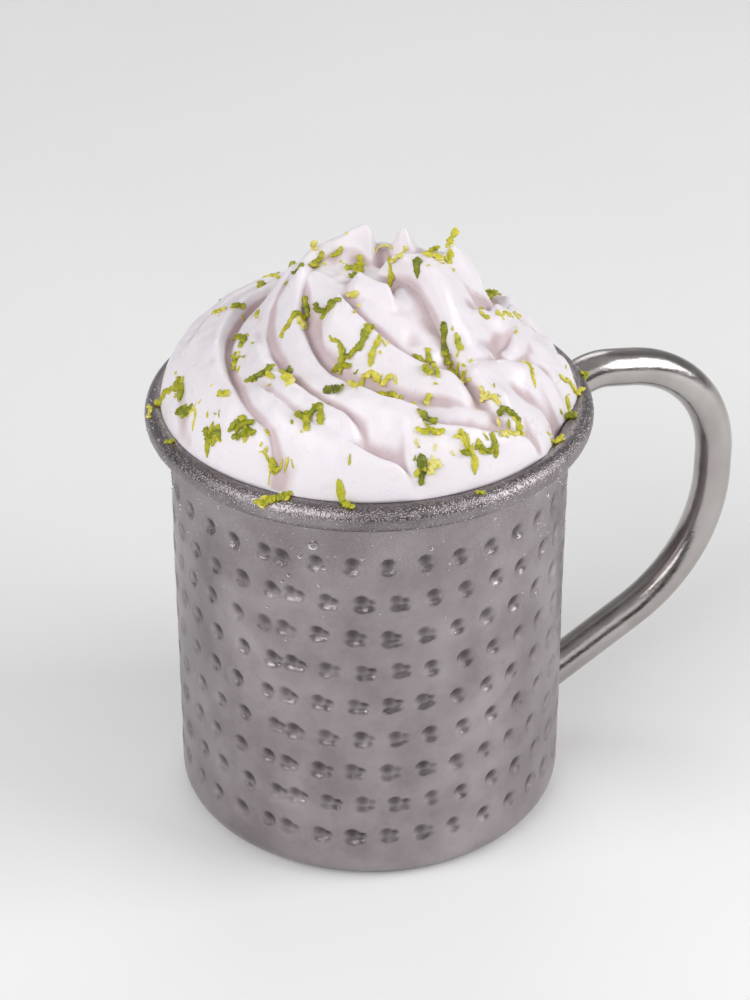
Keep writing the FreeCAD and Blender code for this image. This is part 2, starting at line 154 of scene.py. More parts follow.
def rampOf(tree, source, places, colours):
    # a colour can be one number, for a grey
    ramp = tree.nodes.new("ShaderNodeValToRGB")
    elements = ramp.color_ramp.elements
    while len(elements) < len(places):
        elements.new(0.5)
    for element, place, colour in zip(elements, places, colours):
        element.position = place
        element.color = (*colour, 1) if hasattr(colour, "__len__") else (colour, colour, colour, 1)
    tree.links.new(source, ramp.inputs["Fac"])
    return ramp.outputs["Color"]


def mathOf(tree, operation, *values):
    step = tree.nodes.new("ShaderNodeMath")
    step.operation = operation
    for place, value in enumerate(values):
        feed(tree, step.inputs[place], value)
    return step.outputs["Value"]


def mixOf(tree, share, one, other):
    mix = tree.nodes.new("ShaderNodeMix")
    mix.data_type = "RGBA"
    feed(tree, mix.inputs["Factor"], share)
    feed(tree, mix.inputs["A"], one)
    feed(tree, mix.inputs["B"], (*other, 1))
    return mix.outputs["Result"]


def bumpOf(tree, height, distance, strength, before=None):
    bump = tree.nodes.new("ShaderNodeBump")
    bump.inputs["Distance"].default_value = distance
    bump.inputs["Strength"].default_value = strength
    tree.links.new(height, bump.inputs["Height"])
    if before is not None:
        tree.links.new(before, bump.inputs["Normal"])
    return bump.outputs["Normal"]


# hammered mug
mugSettings = {
    "rimRound": 3.0,
    "wall": 1.1,
    "footRound": 5.0,
    "columns": 640,
    "wallRows": 138,
    "floorRows": 14,
    "footRows": 12,
    "rimRows": 34,
    "boreRows": 12,
    "insideRows": 8,
    "rows": 9,  # of dimples
    "perRow": 36,
    "span": 354.0,  # from a row's first dimple to its last
    "seam": -140.0,  # where each row starts
    "shift": 2.4,  # every other row starts this much further round
    "lowest": 12.0,  # height of the first row
    "step": 8.6,
    "missAlong": 0.45,  # how far each strike can miss its place
    "missUp": 0.3,
    "bowlRadius": 2.35,
    "bowlDepth": 0.98,
    "radiusSpread": (0.93, 1.07),
    "depthSpread": (0.8, 1.1),
    "bowlPower": 1.4,  # more makes the bottom of a dimple narrower
    "joinPower": 2.5,  # more keeps a ridge between two dimples that meet
    "reach": 1.5,  # how far a strike can be felt, in its radii
    "secondFrom": 215.0,  # where the tool struck each dimple twice
    "secondTo": 262.0,
    "secondTurn": 2.7,
    "secondRadius": 1.65,
    "secondDepth": 0.85,
    "secondMiss": 0.5,
    "secondSpread": (0.6, 1.1),
    "shadeUp": 0.5,  # painted shade sits a little above the middle of each dimple, where the bowl faces down
    "shadeWide": 0.74,
    "lip": 0.11,  # metal pushed up round each dimple
    "lipOut": 1.02,
    "lipWide": 0.17,
    "lipFades": 0.4,
    # height, waves round the cup, waves up it, start
    "waves": ((0.07, 7, 5, 0), (0.05, 11, -7, 40)),
    "waveLevel": 0.12,
    "calmFoot": (6.0, 10.0),  # no waves up to here, and full waves this much further on
    "calmRim": (8.0, 8.0),
    "spare": 0.1,  # metal left behind the deepest strike
    "stopPower": 6,  # how sharply the depth stops there
    "wallDew": (64.0, 26.0),  # dew starts at this height, and is full this much higher
    "rimDew": (7.0, 2.0),  # the same, but measured from the rim's top down
    "seed": 7,
    "colour": (0.41, 0.37, 0.385),
    "dull": (0.27, 0.238, 0.248),
    # colour of the painted shade in the dimples and between the dew beads
    "paintedShade": (0.04, 0.033, 0.034),
    "roughness": (0.27, 0.42),
    "dew": 1.0,
}
rimRound = mugSettings["rimRound"]
rimOut, rimUp = mugHigh[0] - rimRound, mugHigh[2] - rimRound
bore = rimOut - rimRound
wallOut = bore + mugSettings["wall"]


def mugProfile():
    # half section from the middle of the underside, up the wall, over the rim and down inside
    s = mugSettings
    foot = s["footRound"]
    inner = foot - s["wall"]
    quarter = math.radians(90)
    joinTurn = math.atan2(-math.sqrt(rimRound ** 2 - (wallOut - rimOut) ** 2), wallOut - rimOut)
    joinUp = rimUp + rimRound * math.sin(joinTurn)
    path = [(out, 0.0) for out in np.linspace(0.0, wallOut - foot, s["floorRows"])]
    path += arc(wallOut - foot, foot, foot, np.linspace(-quarter, 0, s["footRows"])[1:])
    wallStart = len(path)
    path += [(wallOut, up) for up in np.linspace(foot, joinUp, s["wallRows"])[1:]]
    wallEnd = len(path)
    path += arc(rimOut, rimUp, rimRound, np.linspace(joinTurn, math.pi, s["rimRows"])[1:])
    path += [(bore, up) for up in np.linspace(rimUp, foot, s["boreRows"])[1:]]
    path += arc(bore - inner, foot, inner, np.linspace(0, -quarter, s["insideRows"])[1:])
    path += [(out, s["wall"]) for out in np.linspace(bore - inner, 0.0, s["insideRows"])[1:]]
    return np.array(path), wallStart, wallEnd


def dimplePlaces():
    # angle, height, radius and depth of every strike of the tool
    s = mugSettings
    picker = random.Random(s["seed"])
    strikes = []
    for row in range(s["rows"]):
        shift = s["shift"] if row % 2 else 0
        for place in range(s["perRow"]):
            angle = s["seam"] + place * s["span"] / (s["perRow"] - 1) + shift
            angle += picker.uniform(-s["missAlong"], s["missAlong"])
            up = s["lowest"] + row * s["step"] + picker.uniform(-s["missUp"], s["missUp"])
            wide = s["bowlRadius"] * picker.uniform(*s["radiusSpread"])
            deep = s["bowlDepth"] * picker.uniform(*s["depthSpread"])
            strikes.append((angle, up, wide, deep))
            if s["secondFrom"] < angle % 360 < s["secondTo"] and row < s["rows"] - 1:
                again = angle + s["secondTurn"] + picker.uniform(-s["secondMiss"], s["secondMiss"])
                lower = up - picker.uniform(0.0, s["secondMiss"])
                deep = s["secondDepth"] * picker.uniform(*s["secondSpread"])
                strikes.append((again, lower, s["secondRadius"], deep))
    return strikes


def makeMugShell():
    s = mugSettings
    path, wallStart, wallEnd = mugProfile()
    turns = np.linspace(0, 2 * math.pi, s["columns"], endpoint=False)
    wallTurns = np.degrees(turns)[None, :]
    wallUps = path[wallStart:wallEnd, 1][:, None]
    pressed = np.zeros((len(wallUps), s["columns"]))
    # painted shade in the upper part of each dimple
    paintedShade = np.zeros_like(pressed)
    lip = np.zeros_like(pressed)
    for angle, up, wide, deep in dimplePlaces():
        band = np.abs(wallUps[:, 0] - up) < s["reach"] * wide
        across = np.radians(angleGap(wallTurns, angle)) * wallOut
        near = np.hypot(across, wallUps[band] - up) / wide
        bowl = deep * np.clip(1 - near ** 2, 0, None) ** s["bowlPower"]
        joined = pressed[band] ** s["joinPower"] + bowl ** s["joinPower"]
        pressed[band] = joined ** (1 / s["joinPower"])
        ring = s["lip"] * deep * np.exp(-((near - s["lipOut"]) / s["lipWide"]) ** 2)
        lip[band] = np.maximum(lip[band], ring)
        # the painted shade is centred a little above each strike
        core = np.hypot(across, wallUps[band] - up - s["shadeUp"]) / (s["shadeWide"] * wide)
        paintedShade[band] = np.maximum(paintedShade[band], np.clip(1 - core ** 2, 0, None) * deep)
    # the hammered sheet also waves a little between the dimples
    wave = sum(high * np.sin(np.radians(wallTurns * along + wallUps * upward + start))
               for high, along, upward, start in s["waves"])
    calm = ease((wallUps - s["calmFoot"][0]) / s["calmFoot"][1])
    calm = calm * ease((mugHigh[2] - s["calmRim"][0] - wallUps) / s["calmRim"][1])
    inward = pressed + (wave + s["waveLevel"]) * calm - lip * (1 - ease(pressed / s["lipFades"]))
    # the sheet is thin, so no strike goes deeper than its wall
    deepest = s["wall"] - s["spare"]
    stop = 1 + (np.clip(inward, 0, None) / deepest) ** s["stopPower"]
    radius = np.repeat(path[:, 0][:, None], s["columns"], 1)
    height = np.repeat(path[:, 1][:, None], s["columns"], 1)
    radius[wallStart:wallEnd] -= inward / stop ** (1 / s["stopPower"])
    dimpleShade = np.zeros_like(radius)
    dimpleShade[wallStart:wallEnd] = paintedShade / s["bowlDepth"]
    # half of the dew comes with height, and the rest at the rim
    dewy = 0.5 * ease((height - s["wallDew"][0]) / s["wallDew"][1])
    dewy = dewy + 0.5 * ease((height - mugHigh[2] + s["rimDew"][0]) / s["rimDew"][1])
    points = np.stack([radius * np.cos(turns), radius * np.sin(turns), height], 2).reshape(-1, 3)
    piece = meshPiece("mug_shell", points, gridFaces(len(path), s["columns"], True))
    # the pressed attribute carries the painted shade of the dimples
    pointValues(piece, "pressed", dimpleShade.reshape(-1))
    pointValues(piece, "dewy", dewy.reshape(-1))
    return piece


# finish of both metals: scale to the metre, detail and roughness of each pattern,
# and height in metres and strength of each bump
metalGrain = {
    "cloud": (75, 5, 0.62),
    "cloudStops": (0.34, 0.66),
    "rub": (300, 4, 0.6),
    "rubStops": (0.32, 0.68),
    "shadeShows": 0.8,  # how much of the painted shade shows in the deepest dimples
    "shadeStops": (0.08, 1.0),
    "sheet": (2400, 2, 0.5),
    "sheetBump": (0.00006, 0.5),
    "dents": (240, 2, 0.5),
    "dentsBump": (0.0003, 0.35),
    "patch": (130, 3, 0.6),  # the dew is thinner in places
    "patchStops": (0.36, 0.6),
    "patchLeast": 0.6,
    "beads": 2300,
    "beadEnd": 0.55,
    "beadBump": (0.00013, 0.8),
    "gapStops": (0.3, 0.62),
    "gapShade": 0.34,
}


def metalMaterial(name, look):
    g = metalGrain
    material, tree, shader, where = newMaterial(name)
    shader.inputs["Metallic"].default_value = 1.0
    cloud = noiseOf(tree, where, *g["cloud"])
    tone = rampOf(tree, cloud, g["cloudStops"], (look["dull"], look["colour"]))
    # painted shade darkens each dimple, a little above its bottom
    deep = rampOf(tree, attributeOf(tree, "pressed"), g["shadeStops"], (0.0, g["shadeShows"]))
    dimpleShaded = mixOf(tree, deep, tone, look["paintedShade"])
    rub = noiseOf(tree, where, *g["rub"])
    rough = rampOf(tree, rub, g["rubStops"], look["roughness"])
    tree.links.new(rough, shader.inputs["Roughness"])
    # beads of dew near the rim, with painted shade in the gaps between them
    patch = noiseOf(tree, where, *g["patch"])
    patchy = rampOf(tree, patch, g["patchStops"], (g["patchLeast"], 1.0))
    wet = mathOf(tree, "MULTIPLY", attributeOf(tree, "dewy"), patchy)
    beads = cellsOf(tree, where, g["beads"])
    dew = mathOf(tree, "MULTIPLY", rampOf(tree, beads, (0.0, g["beadEnd"]), (1.0, 0.0)), wet)
    shade = mathOf(tree, "MULTIPLY", rampOf(tree, beads, g["gapStops"], (0.0, g["gapShade"])), wet)
    # the painted shade of the dimples and of the bead gaps darkens the base colour
    tree.links.new(mixOf(tree, shade, dimpleShaded, look["paintedShade"]), shader.inputs["Base Color"])
    # fine grain of the sheet, then the beads, then broad dents
    fine = bumpOf(tree, noiseOf(tree, where, *g["sheet"]), *g["sheetBump"])
    misted = bumpOf(tree, dew, g["beadBump"][0] * look["dew"], g["beadBump"][1], fine)
    broad = bumpOf(tree, noiseOf(tree, where, *g["dents"]), *g["dentsBump"], misted)
    tree.links.new(broad, shader.inputs["Normal"])
    return material


mugShell = makeMugShell()
mugShell.data.materials.append(metalMaterial("mug metal", mugSettings))
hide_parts("mug")
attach(mugShell, "root")
print("mug shell made: %d faces" % len(mugShell.data.polygons))


# handle: the model's own bar with a polished finish
handleSettings = {
    "colour": (0.50, 0.475, 0.465),
    "dull": (0.40, 0.37, 0.355),
    # colour of painted shade; the bar has no dimples or dew beads to show it
    "paintedShade": (0.2, 0.17, 0.15),
    "roughness": (0.14, 0.27),
    "dew": 0.2,
}
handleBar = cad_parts["handle"]
handleBar.data.materials.clear()
handleBar.data.materials.append(metalMaterial("handle metal", handleSettings))
print("handle finished")


# drink under the foam
drinkSettings = {
    "colour": (0.78, 0.62, 0.33),
    "deep": (0.70, 0.53, 0.25),
    "swirl": (90, 3, 0.5),
    "swirlStops": (0.3, 0.7),
    "roughness": 0.12,
}


def drinkMaterial():
    look = drinkSettings
    material, tree, shader, where = newMaterial("ginger drink")
    swirl = noiseOf(tree, where, *look["swirl"])
    tone = rampOf(tree, swirl, look["swirlStops"], (look["deep"], look["colour"]))
    tree.links.new(tone, shader.inputs["Base Color"])
    shader.inputs["Roughness"].default_value = look["roughness"]
    return material


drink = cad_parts["drink"]
drink.data.materials.clear()
drink.data.materials.append(drinkMaterial())
print("drink finished")


# whipped foam; radii and widths in its tables are shares of the radius that fills the cup
foamSettings = {
    "fill": drinkHigh[0],  # radius inside the cup
    "lip": 96.9,  # height of the foam at the rim
    "overhang": 3.65,  # how far it reaches past the fill
    "notchTurn": -44.0,  # its edge draws in here
    "notchWide": 10.0,
    "notchDepth": 4.0,
    "tierRise": 16.0,  # height of the lower tier
    "tierPower": 7,  # more makes its side steeper
    "tierReach": 1.08,
    "topRise": 14.5,  # height of the upper tier above it
    "topCore": 0.266,
    "topSlope": 0.411,
    "topOut": 0.054,
    "topTurn": 1.6,
    "blend": 1.8,  # more makes the folds meet more sharply
    "sink": 1.5,  # takes back the height that the folds add
    "foldDeep": 1.25,
    "foldWide": 0.86,
    "foldRound": 2.4,
    "foldEnds": 3.0,  # how far a fold's ends dive under the heap
    "foldLeast": -8.0,
    "streak": 0.12,
    "streakTwist": 2.7,
    "streakRing": (12.0, 16.0),  # no streaks up to here, and full streaks this much further out
    "lump": 0.5,
    "lumpScale": 0.17,
    "smallLump": 0.5,  # share of the lump
    "smallLumpScale": 0.4,
    "smallLumpLayer": 7,
    "steps": 310,
    "evenPasses": 2,  # takes the teeth off the steep sides
    "evenKeep": 0.5,
    "edgeRound": 1.7,
    "edgeFall": 0.97,
    "underGap": 0.04,
    "underRows": 6,
    "underStep": 0.02,
    "hollowPasses": 60,  # the grooves show against a heap that is evened this often
    "hollowDepth": 0.55,
    "hollowSoft": 4,
    "colour": (0.86, 0.812, 0.858),
    # colour of the painted shade in the grooves
    "grooveShade": (0.63, 0.505, 0.53),
    "hollowStops": (0.70, 1.0),
    "cloud": (120, 3, 0.5),
    "cloudShare": 0.3,
    "roughness": (0.26, 0.44),
    "gloss": (210, 3, 0.6),
    "glossStops": (0.35, 0.65),
    "scatter": 0.18,
    "scatterColour": (1.0, 0.75, 0.7),
    "scatterDepth": 0.0016,
    "ripple": (420, 3, 0.55),
    "rippleBump": (0.00035, 0.35),
    "pores": 1100,
    "poreEnd": 0.22,
    "poreBump": (0.00004, 0.35),
}
# each fold: start angle, start radius, end angle, end radius, gentle side, steep side, height,
# fade in, fade out
foamFolds = [
    (125, 0.609, 213, 0.987, 0.206, 0.058, 3.4, 40, 12),
    (208, 0.838, 252, 1.043, 0.150, 0.050, 3.2, 26, 11),
    (140, 0.440, 236, 0.861, 0.206, 0.053, 3.4, 35, 14),
    (165, 0.365, 260, 0.838, 0.181, 0.053, 3.4, 35, 9),
    (258, 0.900, 292, 1.060, 0.170, 0.050, 3.2, 7, 12),
    (220, 0.351, 280, 0.653, 0.145, 0.048, 3.2, 25, 14),
    (325, 0.169, 293, 0.629, 0.193, 0.058, 4.0, 10, 10),
    (294, 0.650, 319, 0.880, 0.145, 0.058, 2.6, 10, 9),
    (310, 0.532, 355, 0.798, 0.133, 0.063, 3.2, 14, 16),
    (320, 0.339, 385, 0.726, 0.145, 0.063, 3.2, 20, 25),
    (-25, 0.798, 35, 0.992, 0.157, 0.073, 1.0, 14, 20),
    (85, 0.701, 153, 0.979, 0.169, 0.073, 1.6, 35, 25),
    (25, 0.580, 115, 0.967, 0.181, 0.063, 1.0, 25, 25),
    (75, 0.437, 155, 0.798, 0.181, 0.058, 2.8, 18, 25),
    (62, 0.165, 190, 0.556, 0.145, 0.058, 2.3, 14, 25),
    (228, 0.150, 268, 0.205, 0.110, 0.036, 2.4, 34, 8),
    (318, 0.700, 344, 0.800, 0.070, 0.040, 1.8, 8, 10),
    (4, 0.600, 30, 0.700, 0.080, 0.040, 1.8, 10, 12),
]
# each small peak or hollow: angle, radius, half width, height
foamPeaks = [
    (70, 0.165, 0.070, 3.4),
    (98, 0.180, 0.070, 2.4),
    (20, 0.240, 0.060, 6.6),
    (-10, 0.370, 0.110, 2.4),
    (-14, 0.480, 0.095, 2.2),
    (-17, 0.575, 0.080, 2.8),
    (-33, 0.530, 0.050, 1.4),
    (-24, 0.640, 0.045, 1.6),
    (-4, 0.660, 0.060, 1.8),
    (-40, 0.660, 0.060, -1.6),
    (-12, 0.750, 0.070, -1.6),
    (139, 0.352, 0.121, 1.2),
    (30, 0.140, 0.050, -3.4),
    (169, 0.299, 0.073, 2.0),
    (293, 0.590, 0.075, -2.6),
    (291, 0.760, 0.100, -1.4),
    (282, 0.363, 0.145, -3.0),
    (272, 0.150, 0.060, -3.0),
    (32, 0.800, 0.230, -3.2),
    (-6, 0.930, 0.170, -3.4),
    (7, 0.860, 0.045, 1.4),
    (-4, 0.900, 0.045, 1.6),
    (-12, 0.955, 0.045, 1.6),
    (-22, 1.000, 0.045, 1.5),
    (-50, 0.850, 0.050, 1.0),
    (-60, 0.900, 0.050, 0.9),
]
# waves along the folds: turns across them, turns round the cup, start
foamStreaks = [(8, 1, 0.4), (11, -2, 2.1), (14, 1, 4.0), (18, 3, 1.2)]


def foldHeight(fold, share, angle):
    s = foamSettings
    startAngle, startShare, endAngle, endShare, gentle, steep, height, fadeIn, fadeOut = fold
    half = abs(endAngle - startAngle) / 2
    along = angleGap(angle, (startAngle + endAngle) / 2)
    if endAngle < startAngle:
        along = -along
    growth = math.log(endShare / startShare) / (2 * half)
    crest = startShare * np.exp(growth * (along + half))
    across = (share - crest) * math.cos(math.atan(math.degrees(growth)))
    shown = ease((along + half) / fadeIn + 1) * ease((half - along) / fadeOut + 1)
    deep = s["foldDeep"] * height
    side = np.where(across > 0, s["foldWide"] * gentle, steep)
    back = np.abs(across / side) ** s["foldRound"]
    return np.clip(deep * (1 - back) - (1 - shown) * (deep + s["foldEnds"]), s["foldLeast"], None)


def foamHeight(x, y):
    s = foamSettings
    x, y = np.asarray(x, float), np.asarray(y, float)
    radius = np.hypot(x, y)
    angle = np.degrees(np.arctan2(y, x))
    notch = angleGap(angle, s["notchTurn"]) / s["notchWide"]
    edge = s["fill"] + s["overhang"] - s["notchDepth"] * np.exp(-notch ** 2)
    tier = 1 - np.clip(radius / edge, 0, s["tierReach"]) ** s["tierPower"]
    level = s["lip"] + s["tierRise"] * tier
    topX, topY = polar(s["topOut"] * s["fill"], s["topTurn"])
    fromTop = np.hypot(x - topX, y - topY) / s["fill"]
    level = level + s["topRise"] * (1 - ease((fromTop - s["topCore"]) / s["topSlope"]))
    total = np.ones_like(level)
    for fold in foamFolds:
        total = total + np.exp(s["blend"] * foldHeight(fold, radius / s["fill"], angle))
    level = level + np.log(total) / s["blend"] - s["sink"]
    for turn, share, wide, high in foamPeaks:
        peakX, peakY = polar(share * s["fill"], turn)
        away = ((x - peakX) ** 2 + (y - peakY) ** 2) / (wide * s["fill"]) ** 2
        level = level + high * np.exp(-away)
    # faint streaks that run with the folds
    spiral = np.degrees(np.log(np.clip(radius, 1, None) / s["fill"])) * s["streakTwist"] - angle
    streak = sum(np.sin(np.radians(across * spiral + around * angle) + start)
                 for across, around, start in foamStreaks)
    return level + s["streak"] * streak * ease((radius - s["streakRing"][0]) / s["streakRing"][1])


def rimHeightAt(radius):
    # top of the rolled rim at this distance from the axis, far below outside it
    across = np.abs(radius - rimOut)
    top = rimUp + np.sqrt(np.clip(rimRound ** 2 - across ** 2, 0, None))
    return np.where(across < rimRound, top, farBelow)


def roundedEdge(radius, z):
    # near its edge the foam is rounded down onto the rim
    s = foamSettings
    rim = rimHeightAt(radius)
    into = np.clip((radius - (foamHigh[0] - s["edgeRound"])) / s["edgeRound"], 0, 1)
    fallen = rim + (z - rim) * np.sqrt(1 - s["edgeFall"] * into ** 2)
    return np.where((into > 0) & (z > rim), fallen, z)


def discGrid(steps, radius):
    # square grid bent into a disc, so that the outline is round and no pole shows
    line = np.linspace(-1, 1, steps)
    u, v = np.meshgrid(line, line)
    return u * np.sqrt(1 - v * v / 2) * radius, v * np.sqrt(1 - u * u / 2) * radius


def lumpAt(x, y, z):
    s = foamSettings
    wide, close = s["lumpScale"], s["smallLumpScale"]
    broad = noise.noise(Vector((x * wide, y * wide, z * wide)))
    small = noise.noise(Vector((x * close, y * close, s["smallLumpLayer"])))
    return s["lump"] * (broad + s["smallLump"] * small)


def makeFoam():
    s = foamSettings
    n = s["steps"]
    x, y = discGrid(n, foamHigh[0])
    z = foamHeight(x, y)
    z = z + np.array([lumpAt(*place) for place in zip(x.flat, y.flat, z.flat)]).reshape(n, n)
    z = evened(z, s["evenPasses"], s["evenKeep"])
    heap = z.copy()
    # where the foam is lower than the rim it stays inside the cup
    radius = np.hypot(x, y)
    z = roundedEdge(radius, z)
    inside = (radius > s["fill"]) & (z < rimHeightAt(radius))
    pull = np.where(inside, s["fill"] / radius, 1.0)
    points = np.stack([x * pull, y * pull, z], 2).reshape(-1, 3)
    faces = gridFaces(n, n, False)
    # underside: along the rim's inner side and down to the drink
    ring = list(range(n)) + [row * n + n - 1 for row in range(1, n)]
    ring += [(n - 1) * n + column for column in range(n - 2, -1, -1)]
    ring += [row * n for row in range(n - 2, 0, -1)]
    edge = points[ring]
    edgeOut = np.hypot(edge[:, 0], edge[:, 1])
    around = np.arctan2(edge[:, 1], edge[:, 0])
    clear = rimRound + s["underGap"]
    first = math.acos((foamHigh[0] - rimOut) / clear)
    below = arc(rimOut, rimUp, clear, np.linspace(first, math.pi, s["underRows"]))
    below.append((s["fill"], drinkHigh[2]))
    above = np.array(ring)
    for out, up in below:
        out = np.minimum(out, edgeOut)
        up = np.minimum(up, edge[:, 2] - s["underStep"])
        start = len(points)
        points = np.vstack([points, np.stack([out * np.cos(around), out * np.sin(around), up], 1)])
        level = np.arange(start, start + len(ring))
        for here in range(len(ring)):
            there = (here + 1) % len(ring)
            corners = (above[there], above[here], level[here], level[there])
            faces.append(tuple(int(corner) for corner in corners))
        above = level
    faces.append(tuple(int(corner) for corner in above[::-1]))
    piece = meshPiece("whipped_foam", points, faces)
    # grooves are where the heap lies under its own mean
    depth = (evened(heap.copy(), s["hollowPasses"]) - heap) / s["hollowDepth"]
    depth = evened(np.clip(depth, -1, 1), s["hollowSoft"])
    # the mask for the painted shade in the grooves
    grooveShade = np.zeros(len(points))
    grooveShade[:n * n] = depth.reshape(-1) * 0.5 + 0.5  # from 0 on a fold's back to 1 in a groove
    pointValues(piece, "grooveShade", grooveShade)
    return piece


def scattered(shader, look):
    # light goes a little way into the food
    shader.inputs["Subsurface Weight"].default_value = look["scatter"]
    shader.inputs["Subsurface Radius"].default_value = look["scatterColour"]
    shader.inputs["Subsurface Scale"].default_value = look["scatterDepth"]


def foamMaterial():
    look = foamSettings
    material, tree, shader, where = newMaterial("whipped foam")
    # painted shade, tinted warm, darkens the grooves between the folds
    cloud = noiseOf(tree, where, *look["cloud"])
    depth = mathOf(tree, "MULTIPLY_ADD", cloud, look["cloudShare"], attributeOf(tree, "grooveShade"))
    tone = rampOf(tree, depth, look["hollowStops"], (look["colour"], look["grooveShade"]))
    tree.links.new(tone, shader.inputs["Base Color"])
    gloss = noiseOf(tree, where, *look["gloss"])
    rough = rampOf(tree, gloss, look["glossStops"], look["roughness"])
    tree.links.new(rough, shader.inputs["Roughness"])
    scattered(shader, look)
    ripple = bumpOf(tree, noiseOf(tree, where, *look["ripple"]), *look["rippleBump"])
    pores = rampOf(tree, cellsOf(tree, where, look["pores"]), (0.0, look["poreEnd"]), (0.0, 1.0))
    tree.links.new(bumpOf(tree, pores, *look["poreBump"], ripple), shader.inputs["Normal"])
    return material


foam = makeFoam()
foam.data.materials.append(foamMaterial())
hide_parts("foam")
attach(foam, "root")
print("foam made: %d faces" % len(foam.data.polygons))


# grated lime peel on the foam
zestSettings = {
    "sides": 9,
    "stepLength": 0.22,
    "leastSteps": 6,
    "thick": 0.66,  # share of the width
    "wander": 0.45,  # how much a shred winds
    "wanderBeat": (1.2, 2.2),
    "wholeTurn": 6.28,  # a wave starts anywhere in its turn
    "tipLift": 0.5,
    "rest": 0.3,  # share of the thickness above the foam
    "rootDepth": 0.3,  # how deep the end of a standing shred is in the foam
    "softPasses": 2,
    "bumps": 0.42,
    "beads": ((1, 1.75, 0.3), (3, 0.73, 0.5)),  # start, beat and height of thicker places
    "lumps": 1.7,
    "lumpScale": 2.3,
    "lumpTurn": 1.5,
    "twist": 1.2,
    "taperPower": 5,
    "tip": 0.14,  # share of the width left at the ends
    "pith": 0.3,  # how much paler the underside is
    "mottle": 0.22,
    "mottleScale": 1.1,
    "paleEnds": 0.1,
    "spurs": 0.6,  # share of the shreds with a side spur
    "spurFrom": 3.0,  # shorter shreds have none
    "spurTurn": (50, 110),
    "spurLength": (1.6, 2.6),
    "spurBend": 60,
    "spurWidth": (0.6, 0.9),
    "spurPaler": 0.15,
    "palest": 0.95,
    "crumbs": 150,
    "crumbTurn": 90,
    "crumbLeastOut": 8,
    "crumbOut": 1.5,
    "crumbRing": (2, 42),
    "crumbLength": (0.5, 1.3),
    "crumbWidth": (0.35, 0.65),
    "crumbPaler": 0.3,
    "farCount": 46,  # extra shreds on the far side
    "farAngle": (14, 118),
    "farOut": 42.5,
    "farSpread": (0.16, 1.0),
    "farLength": (2.4, 7.5),
    "farWidth": (0.8, 1.9),
    "farBend": 90,
    "farTone": (0.42, 0.2),
    "farToneEnds": (0.1, 0.9),
    "curlOut": 7.2,  # one thin curl stands between the two peaks
    "curlAngle": 38,
    "curlUp": 1.2,
    "curlRadius": 2.0,
    "curlWay": (0.9, -0.42),
    "curlTurns": (-50, 215, 26),
    "curlWidth": 0.7,
    "curlTone": 0.95,
    "rimInset": 0.4,  # peel over the very edge of the rim or foam counts as this far in
    "foamInset": 0.1,
    "seed": 21,
    # from dark rind to pale pith
    "tones": ((0.07, 0.10, 0.003), (0.22, 0.25, 0.004), (0.46, 0.45, 0.012),
              (0.70, 0.63, 0.055), (0.84, 0.76, 0.24)),
    "toneStops": (0.0, 0.25, 0.5, 0.75, 1.0),
    "spots": (1500, 3, 0.6),
    "spotShare": 0.5,
    "roughness": 0.38,
    "scatter": 0.12,
    "scatterColour": (0.6, 1.0, 0.2),
    "scatterDepth": 0.0006,
    "pores": 2600,
    "poreBump": (0.00015, 0.6),
}
